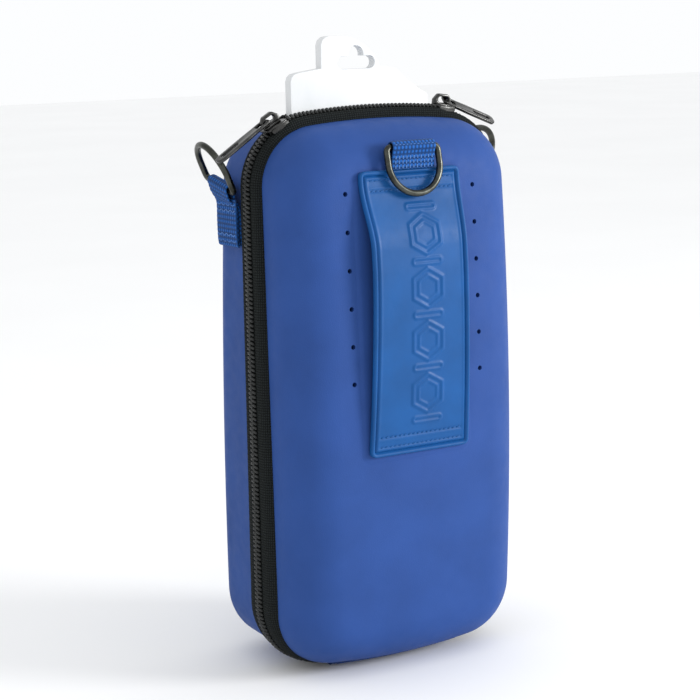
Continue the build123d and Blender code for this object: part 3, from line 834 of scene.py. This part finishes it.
def belt_loop():
    """Strap with its moulded relief, as a closed slab."""
    step = 0.6
    rows = int((LOOP_TOP_Z - LOOP_BOTTOM_Z) / step) + 1
    cols = int(2 * LOOP_HALF_W / step) + 1
    z, u = np.meshgrid(
        np.linspace(LOOP_BOTTOM_Z, LOOP_TOP_Z, rows), np.linspace(-1, 1, cols), indexing="ij")
    half_w = loop_half_width(z)
    near_end = np.minimum(z - LOOP_BOTTOM_Z, LOOP_TOP_Z - z)
    into_corner = np.maximum(LOOP_CORNER - near_end, 0)
    round_off = LOOP_CORNER - np.sqrt(np.maximum(LOOP_CORNER**2 - into_corner**2, 0))
    x = u * (half_w - round_off)
    inner = loop_inner_y(z)
    outer = inner - LOOP_T + LOOP_FIELD_DROP - loop_relief(x, z, half_w)
    verts, faces = closed_slab((LOOP_X + x, outer, z), (LOOP_X + x, inner, z))
    add_piece("belt_loop_strap", verts, faces, "belt_loop_skin", "lid", ["belt_loop"], sharp=70)


def loop_stitches():
    """Two rows of stitches at each end of the belt loop."""
    batch = Batch()
    pitch, length = 2.55, 1.75
    for from_end in STITCH_ROWS:
        for z in (LOOP_BOTTOM_Z + from_end, LOOP_TOP_Z - from_end):
            reach = loop_half_width(z) - 5.2
            count = int(2 * reach / pitch)
            for k in range(count):
                x = LOOP_X - reach + (k + 0.5) * 2 * reach / count
                y = loop_inner_y(z) - LOOP_T + LOOP_FIELD_DROP + 0.12
                batch.stitch((x, y, z), (length / 2, 0, 0.15), 0.75, 0.6, FORWARD, sides=8)
    batch.piece("belt_loop_stitches", "belt_loop_skin", "lid", thread="loop_thread")


def loop_plateau():
    """Low raised field of the shell round the sewn belt loop."""
    margin, rise, slope, sunk, corner = 1.6, 0.35, 2.2, 0.08, 6.0
    half_w = LOOP_HALF_W + margin + slope
    low, high = LOOP_BOTTOM_Z - margin - slope, LOOP_TOP_Z - 3
    rows, cols = 160, 72
    z, x = np.meshgrid(np.linspace(low, high, rows), np.linspace(-half_w, half_w, cols), indexing="ij")
    inside = depth_inside(x, z, half_w, low, high, corner)
    height = (rise + sunk) * smooth_step(inside, 0, slope) - sunk
    surface = -face_depth(FRONT, x, z)
    verts, faces = closed_slab((LOOP_X + x, surface - height, z), (LOOP_X + x, surface + 0.9, z))
    add_piece("loop_plateau", verts, faces, "shell_skin", "lid", sharp=70)


belt_loop()
loop_stitches()
loop_plateau()

# ---- webbing tabs
WEB_W, WEB_T = 25.0, 1.4
BAR_R = 1.95 + WEB_T / 2          # middle of the webbing where it turns round a bar
WEB_POINTS, WEAVE_DEPTH = 96, 0.38
PATH_STEP = 0.28                  # millimetres between the points of a webbing's path


def webbing(name, path, across, body, replaces, held, rests_on, width=WEB_W, thickness=WEB_T,
            slot="webbing", rib=WEB_RIB, column=WEB_COLUMN):
    """Woven strap along a path; across gives its width direction at each point."""
    count, cols = len(path), WEB_POINTS
    tangent = np.gradient(path, axis=0)
    tangent /= np.linalg.norm(tangent, axis=1)[:, None]
    across = np.broadcast_to(across, path.shape)
    normal = np.cross(tangent, across)
    normal /= np.linalg.norm(normal, axis=1)[:, None]
    run = np.concatenate([[0], np.cumsum(np.linalg.norm(np.diff(path, axis=0), axis=1))])
    verts, uvs = [], []
    for i in range(count):
        rib_high = abs(sin(pi * run[i] / rib)) ** 0.6
        for side in (1, -1):
            for k in range(cols):
                u = (-1 + 2 * k / (cols - 1)) * side
                edge = (1 - abs(u) ** 14) ** 0.5 if abs(u) < 1 else 0.0
                strand = abs(sin(pi * u * width / 2 / column)) ** 0.6
                high = (thickness / 2 - WEAVE_DEPTH + WEAVE_DEPTH * rib_high * strand) * edge
                verts.append(path[i] + across[i] * (u * width / 2) + normal[i] * (side * high))
                uvs.append((u * width / 2, run[i]))
    faces = tube_faces(count, 2 * cols)
    strap = add_piece(name, verts, faces, slot, body, replaces, uvs=uvs, sharp=65)


def bar_turn(first, last, count=14):
    """Points (out, up) round a bar, in degrees from outwards."""
    return [(BAR_R * cos(radians(a)), BAR_R * sin(radians(a))) for a in np.linspace(first, last, count)]


def front_tab():
    """Webbing folded round the front ring's bar, with its rows of stitches."""
    bar_y, bar_z = -38.2, 267.5
    leg = [(0.85, LOOP_TOP_Z - bar_z + 0.05), (0.85, -7.5), (1.3, -4.6)]
    line = leg + bar_turn(-40, 220) + [(-out, up) for out, up in leg[::-1]]
    flat = smooth_path(line, PATH_STEP)
    path = np.stack([np.zeros(len(flat)), bar_y + flat[:, 0], bar_z + flat[:, 1]], -1)
    webbing("front_tab_webbing", path, (1, 0, 0), "lid", ["front_ring_tab"],
            "folded", ["front_d_ring", "front_shell_skin"])
    batch = Batch()
    columns = [k * WEB_COLUMN for k in range(-5, 6)]
    for row in range(3):
        z = bar_z - 5.0 - row * WEB_RIB
        y = bar_y - 0.85 - WEB_T / 2 - (0.4 if row == 0 else 0)
        for x in columns:
            batch.stitch((x, y, z), (0, 0, 0.85), 0.7, 0.5, FORWARD)
    for x in columns:
        batch.stitch((x, bar_y - 2.55, bar_z + 1.3), (0.8, 0, 0), 0.6, 0.5, (0, -1, 0.5))
    batch.piece("front_tab_stitches", "webbing", "lid", thread="webbing_thread")


def side_tab(side, name):
    """Webbing folded round a side ring's bar, with the patch sewn over its end."""
    bar_x, bar_y, bar_z, slope = 73.6, 24.0, 249.0, radians(12.0)
    width = 20.0
    line = [(70.1, 219.2), (70.7, 223), (70.9, 229), (70.9, 235), (71.9, 240), (74.7, 244.2)]
    line += [(bar_x + out, bar_z + up) for out, up in bar_turn(-35, 215)]
    line += [(71.6, 244.8), (70.1, 240), (69.4, 235), (69.3, 229), (69.1, 223), (68.9, 219.2)]
    flat = smooth_path(line, PATH_STEP)
    lean = smooth_step(flat[:, 1], 236, 245) * slope
    path = np.stack([side * flat[:, 0], bar_y - 1.0 - 1.2 * (1 - lean / slope), flat[:, 1]], -1)
    across = np.stack([np.zeros(len(flat)), np.cos(lean), np.sin(lean)], -1)
    ring = name.replace("ring_tab", "d_ring")
    webbing(f"{name}_webbing", path, across, "back_half", [name],
            "folded", [ring, "back_shell_skin"], width=width)
    patch = smooth_path([(71.2, 218.6), (72.0, 221), (72.3, 230), (72.2, 238), (72.6, 242.4)], PATH_STEP)
    patch = np.stack([side * patch[:, 0], np.full(len(patch), bar_y - 3.0), patch[:, 1]], -1)
    webbing(f"{name}_patch", patch, (0, 1, 0), "back_half", [],
            "laid", [f"{name}_webbing"], width=21.0)
    batch = Batch()
    for z in (221.5, 224.6, 236.6, 239.8):
        for k in range(8):
            y = bar_y - 11.4 + k * 2.4
            x = 72.75 if 223 < z else 72.45
            rise = 0.6 if k % 2 else -0.6
            batch.stitch((side * x, y, z), (0, 1.1, rise), 0.5, 0.45, (side, 0, 0))
    batch.piece(f"{name}_stitches", "webbing", "back_half", thread="webbing_thread")


front_tab()
side_tab(LEFT, "left_ring_tab")
side_tab(RIGHT, "right_ring_tab")


# ---- stamped metal and card
def rounded_outline(points, radii, steps=6):
    """Closed outline with each corner rounded by its radius."""
    result = []
    count = len(points)
    for i, (point, radius) in enumerate(zip(points, radii)):
        here = Vector(point)
        before = (Vector(points[i - 1]) - here).normalized()
        after = (Vector(points[(i + 1) % count]) - here).normalized()
        turn = before.angle(after)
        if radius <= 0 or turn > radians(179):
            result.append(tuple(here))
            continue
        reach = radius / tan(turn / 2)
        centre = here + (before + after).normalized() * (radius / sin(turn / 2))
        first, last = here + before * reach - centre, here + after * reach - centre
        swing = first.angle_signed(last)
        for k in range(steps + 1):
            a = -swing * k / steps
            result.append((
                centre.x + first.x * cos(a) - first.y * sin(a),
                centre.y + first.x * sin(a) + first.y * cos(a),
            ))
    return result


def slot_outline(centre, length, width, steps=10):
    """Outline of a slot that lies along x."""
    reach = (length - width) / 2
    points = []
    for end, start in ((1, -pi / 2), (-1, pi / 2)):
        for k in range(steps + 1):
            a = start + pi * k / steps
            points.append((centre[0] + end * reach + width / 2 * cos(a), centre[1] + width / 2 * sin(a)))
    return points


def stamped_mesh(outlines, thickness, bevel):
    """Flat plate in x, y with holes and rounded edges, as a mesh in millimetres."""
    curve = bpy.data.curves.new("plate", "CURVE")
    curve.dimensions, curve.fill_mode = "2D", "BOTH"
    for outline in outlines:
        spline = curve.splines.new("POLY")
        spline.points.add(len(outline) - 1)
        for point, (x, y) in zip(spline.points, outline):
            point.co = (x, y, 0, 1)
        spline.use_cyclic_u = True
    curve.extrude = thickness / 2 - bevel
    curve.bevel_depth, curve.bevel_resolution, curve.offset = bevel, 2, -bevel
    holder = in_scene("plate", curve)
    mesh = evaluated_mesh(holder)
    bpy.data.objects.remove(holder)
    work = bmesh.new()
    work.from_mesh(mesh)
    bmesh.ops.remove_doubles(work, verts=work.verts, dist=0.002)
    work.to_mesh(mesh)
    work.free()
    return mesh


def placed(mesh, place):
    """Move each point of a mesh by a function from millimetres to millimetres."""
    for vertex in mesh.vertices:
        vertex.co = Vector(place(*vertex.co)) * MM
    return mesh


def joined(meshes):
    """One mesh from several."""
    work = bmesh.new()
    for mesh in meshes:
        work.from_mesh(mesh)
    result = bpy.data.meshes.new("joined")
    work.to_mesh(result)
    work.free()
    return face_outwards(result)


def zip_slider(side, name):
    """Slider body, its bridge and its pull."""
    angle = SLIDER_ANGLES[side]
    turn = 1 if side == LEFT else -1
    outward = Vector((cos(angle), 0, sin(angle)))
    along = Vector((-sin(angle), 0, cos(angle))) * turn
    foot = Vector((side * ARC_X, 0, ARC_Z)) + outward * CORNER_R

    def on_corner(u, v, w):
        a = angle + turn * u / CORNER_R
        r = CORNER_R + w
        return (side * ARC_X + r * cos(a), v, ARC_Z + r * sin(a))

    plate_outline = rounded_outline(
        [(-5.9, -6.9), (-1.5, -7.2), (5.6, -5.4), (5.6, 5.4), (-1.5, 6.5), (-5.9, 6.5), (-4.6, 0)],
        [1.6, 3.0, 2.2, 2.2, 3.0, 1.6, 2.5])
    plate = placed(stamped_mesh([plate_outline], 1.5, 0.45), lambda x, y, z: on_corner(x, y, 1.1 + z))
    flange_outline = rounded_outline([(-5.4, -1.3), (4.6, -1.3), (4.6, 1.2), (-5.4, 1.2)], [1.0] * 4)
    flange = placed(stamped_mesh([flange_outline], 0.8, 0.25),
                    lambda x, y, z: on_corner(x, -7.0 + 0.16 * max(x, 0) + z, y))
    dome_outline = rounded_outline([(-4.2, -3.6), (4.4, -3.0), (4.4, 3.0), (-4.2, 3.6)], [1.8] * 4)
    dome = placed(stamped_mesh([dome_outline], 1.2, 0.5), lambda x, y, z: on_corner(x, y, 1.9 + z))
    body = joined([plate, flange, dome])
    finish_piece(body, f"{name}_slider_casting", "slider_metal", f"{name}_slider",
                 [f"{name}_slider_body"], sharp=35)

    bridge_outline = rounded_outline(
        [(-5.2, 1.9), (-5.2, 4.4), (-2.7, 7.4), (3.0, 7.4), (5.2, 5.2), (5.2, 1.9)],
        [0.3, 1.6, 1.6, 1.6, 1.6, 0.3])
    window = slot_outline((0.4, 4.4), 6.4, 3.0)
    bridge = placed(stamped_mesh([bridge_outline, window], 2.9, 0.5),
                    lambda x, y, z: foot + along * x + outward * y + Vector((0, z, 0)))
    finish_piece(bridge, f"{name}_slider_arch", "slider_metal", f"{name}_slider",
                 [f"{name}_slider_bridge"], sharp=35)

    droop = PULL_DROOPS[side]
    pull_along = along * cos(droop) - outward * sin(droop)
    pull_out = outward * cos(droop) + along * sin(droop)
    twist = Matrix.Rotation(PULL_TWISTS[side], 3, Vector((0, 1, 0)).cross(pull_out))
    pull_out, pull_across = twist @ pull_out, twist @ Vector((0, 1, 0))
    pin = foot + outward * 4.4 + along * 1.6
    pull_outline = rounded_outline(
        [(-0.75, -3.2), (9.5, -3.2), (14, -3.5), (33.25, -3.5), (33.25, 3.5), (14, 3.5), (9.5, 3.2),
         (-0.75, 3.2)],
        [1.2, 6, 6, 2.9, 2.9, 6, 6, 1.2])
    eye = rounded_outline([(0.75, -1.65), (6.8, -1.65), (6.8, 1.65), (0.75, 1.65)][::-1], [0.8] * 4)
    grip = slot_outline((24.5, 0), 11.0, 2.6)
    pull = placed(stamped_mesh([pull_outline, eye, grip], 1.7, 0.5),
                  lambda x, y, z: pin + pull_along * x + pull_out * z + pull_across * y)
    finish_piece(pull, f"{name}_pull_tab", "slider_metal", f"{name}_pull", [f"{name}_pull"], sharp=35)


zip_slider(LEFT, "left")
zip_slider(RIGHT, "right")


def header_card():
    """White board with a hang tab and a plain euro slot."""
    low, left, right = 232.0, -47.2, 33.0
    arc_from, arc_to, arc_r = Vector((-18.0, 321.3)), Vector((4.5, 305.8)), 26.0
    chord = arc_to - arc_from
    height = sqrt(arc_r**2 - (chord.length / 2) ** 2)
    centre = (arc_from + arc_to) / 2 + Vector((chord.y, -chord.x)).normalized() * height
    a0 = atan2(arc_from.y - centre.y, arc_from.x - centre.x)
    a1 = atan2(arc_to.y - centre.y, arc_to.x - centre.x)
    arc = [(centre.x + arc_r * cos(a), centre.y + arc_r * sin(a)) for a in np.linspace(a0, a1, 14)]
    slope = smooth_path([(14.0, 304.4), (24.3, 296.0), (right, 290.8)], 2.0)
    outline = [(left, low), (left, 299.6), (left + 0.7, 301.8), (left + 2.4, 303.3), (left + 5.0, 303.9)]
    outline += [(-29.5, 305.6), (-29.5, 317.0)]
    outline += [(-28.6, 319.4), (-26.6, 320.9), (-24.5, 321.3)] + arc
    outline += [tuple(p) for p in slope] + [(right, low)]
    slot_x, slot_z, slot_h = -9.4, 308.0, 6.4
    slot = slot_outline((slot_x, slot_z), 22.0, slot_h)
    bump_r, rise = 4.4, 4.0
    cut = slot_h / 2 - rise
    reach = sqrt(bump_r**2 - cut**2)
    first = atan2(cut, reach)
    upper = [(slot_x + bump_r * cos(a), slot_z + rise + bump_r * sin(a))
             for a in np.linspace(first, pi - first, 14)]
    right_end = [p for p in slot if p[0] > slot_x]
    left_end = [p for p in slot if p[0] <= slot_x]
    slot = right_end + upper + left_end
    card = placed(stamped_mesh([outline, slot[::-1]], 5.5, 0.3), lambda x, y, z: (x, z, y))
    finish_piece(face_outwards(card), "header_card_board", "card", "header_card", ["header_card"],
                 sharp=35)


header_card()

# ---- fabric hinge
HINGE_HALF, HINGE_REACH = 36.4, 15.8
HINGE_FREE, HINGE_TOP, HINGE_T = 8.5, 1.35, 0.35      # half width not sewn, height, least thickness


def hinge_cloth():
    """One cloth sewn under both shells."""
    rows, cols = 76, 65
    x, y = np.meshgrid(np.linspace(-HINGE_HALF, HINGE_HALF, rows),
                       np.linspace(-HINGE_REACH, HINGE_REACH, cols), indexing="ij")
    sewn = smooth_step(np.abs(y), HINGE_FREE, RIM_BOTTOM_Y + 0.5)
    arch = x**2 / (2 * END_R)
    shell_z = RIM_INSET - FOOT_DROP + arch - 0.05
    top = HINGE_TOP + (shell_z - HINGE_TOP) * sewn
    edge = smooth_step(np.abs(y), HINGE_REACH - 2.6, HINGE_REACH)
    end = smooth_step(np.abs(x), HINGE_HALF - 1.5, HINGE_HALF)
    lift = edge * 0.55 * shell_z + end * 0.5
    pucker = 0.12 * (1 + np.sin(x * 2 * pi / 7.3 + np.sin(x / 5.0))) * (1 - sewn)
    front_rise = 0.22 * np.maximum(1.0 - y, 0)
    low = np.minimum(np.maximum(lift + pucker, front_rise), top - HINGE_T)
    verts, faces = closed_slab((x, y, low), (x, y, top))
    cloth = add_piece("hinge_cloth", verts, faces, "hinge_fabric", None,
                      ["hinge_strip_front", "hinge_strip_back"], sharp=70)
    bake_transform(cloth)


hinge_cloth()

# ---- inside the case
POCKET_W, POCKET_H, POCKET_BOTTOM = 104.0, 97.0, 32.0
POCKET_Y, POCKET_BACK_Y = -22.0, -30.0
POCKET_EDGE = 7.0                     # width over which the pocket falls back
NET_CELL, NET_THREAD, NET_BELOW_MOUTH = 2.7, 0.95, 6.0
ELASTIC_KNIT = {"slot": "elastic", "rib": 1.6, "column": 1.3}


def pocket_surface(x, z):
    """Inner face of the mesh pocket, falling back to the lining at its edges."""
    side = smooth_step(POCKET_W / 2 - np.abs(x), 0, POCKET_EDGE)
    low = smooth_step(z - POCKET_BOTTOM, 0, POCKET_EDGE)
    return POCKET_BACK_Y + (POCKET_Y - POCKET_BACK_Y) * side * low


def mesh_pocket():
    """Net of knotted threads over the pocket's front."""
    net_h = POCKET_H - NET_BELOW_MOUTH
    cols, rows = int(POCKET_W / NET_CELL), int(net_h / NET_CELL)
    work = bmesh.new()
    grid = []
    for r in range(rows + 1):
        line = []
        for c in range(cols + 1):
            jog = 0.25 * NET_CELL * (1 if r % 2 else -1) if 0 < c < cols else 0
            x = -POCKET_W / 2 + POCKET_W * c / cols + jog
            z = POCKET_BOTTOM + net_h * r / rows
            line.append(work.verts.new(Vector((x, float(pocket_surface(x, z)), z)) * MM))
        grid.append(line)
    for r in range(rows):
        for c in range(cols):
            work.faces.new((grid[r][c], grid[r][c + 1], grid[r + 1][c + 1], grid[r + 1][c]))
    mesh = bpy.data.meshes.new("pocket_net")
    work.to_mesh(mesh)
    work.free()
    net = finish_piece(mesh, "pocket_net", "mesh", "lid", ["mesh_pocket"], sharp=0)
    threads = net.modifiers.new("threads", "WIREFRAME")
    threads.thickness, threads.use_even_offset, threads.use_boundary = NET_THREAD * MM, False, True
    apply_modifiers(net)
    net.data.shade_smooth()


def pocket_hem():
    """Gathered elastic along the pocket's mouth."""
    path = []
    z = POCKET_BOTTOM + POCKET_H - 5
    for x in np.linspace(-POCKET_W / 2 + 0.5, POCKET_W / 2 - 0.5, 240):
        gather = 0.35 * sin(x * 2 * pi / 4.1 + sin(x / 6))
        path.append((x, float(pocket_surface(x, z)) + 0.5 + gather, z))
    webbing("pocket_hem_elastic", np.array(path), UP, "lid", ["pocket_hem"],
            "stretched", ["front_lining_cloth"],
            width=10.0, thickness=1.4, **ELASTIC_KNIT)


def pen_loops():
    """Elastic strip sewn to the back lining with three loops standing off it."""
    z, pitch, loop_r, width = 150.0, 26.0, 8.0, 22.0
    depth = float(face_depth(BACK, 0, z + width / 2)) - WALL - LINING_DEPTH - 3.0
    base = np.array([(x, depth, z) for x in np.linspace(-43, 43, 220)])
    webbing("pen_loops_strip", base, UP, "back_half", ["pen_loops"],
            "stretched", ["back_lining_cloth"],
            width=width, thickness=1.2, **ELASTIC_KNIT)
    for k, name in ((-1, "left"), (0, "middle"), (1, "right")):
        arc = []
        for a in np.linspace(radians(68), radians(-248), 90):
            arc.append((k * pitch + loop_r * cos(a), depth - loop_r - 0.6 + (loop_r + 0.2) * sin(a), z))
        webbing(f"pen_loop_{name}", np.array(arc), UP, "back_half", [],
                "folded", ["pen_loops_strip"],
                width=width, thickness=1.1, **ELASTIC_KNIT)
        batch = Batch()
        for row in range(9):
            for column in (-1, 1):
                at = (k * pitch + column * 11.2, depth - 0.75, z - 8.8 + row * 2.2)
                batch.stitch(at, (0, 0, 0.75), 0.5, 0.45, FORWARD)
        batch.piece(f"pen_loop_{name}_stitches", "elastic", "back_half", thread="dark_thread")


mesh_pocket()
pocket_hem()
pen_loops()

# ---- rings keep their CAD shape
for name in ("front_d_ring", "left_d_ring", "right_d_ring"):
    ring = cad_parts[name]
    ring.data.materials.clear()
    ring.data.materials.append(MATERIALS["ring_metal"])


# ---- floor and light
def floor():
    """White ground just under the case."""
    size, gap = 6.0, 0.0002
    mesh = bpy.data.meshes.new("floor")
    corners = [(-size, -size, 0), (size, -size, 0), (size, size, 0), (-size, size, 0)]
    mesh.from_pydata(corners, [], [(0, 1, 2, 3)])
    mesh.materials.append(MATERIALS["floor"])
    plane = in_scene("floor", mesh)
    plane.location.z = -gap


def area_light(name, place, aim, size, power):
    """Round soft light, in metres and watts."""
    data = bpy.data.lights.new(name, "AREA")
    data.shape, data.size, data.energy = "DISK", size, power
    light = in_scene(name, data)
    light.location = place
    light.rotation_euler = (Vector(aim) - Vector(place)).to_track_quat("-Z", "Y").to_euler()


floor()
area_light("key", place=(1.15, -1.05, 0.55), aim=(0, 0, 0.15), size=0.55, power=19)

world = bpy.data.worlds.new("studio")
world.use_nodes = True
background = world.node_tree.nodes["Background"].inputs
background["Color"].default_value, background["Strength"].default_value = (0.98, 0.99, 1.0, 1), 1.0
bpy.context.scene.world = world
bpy.context.scene.view_settings.view_transform = "Standard"
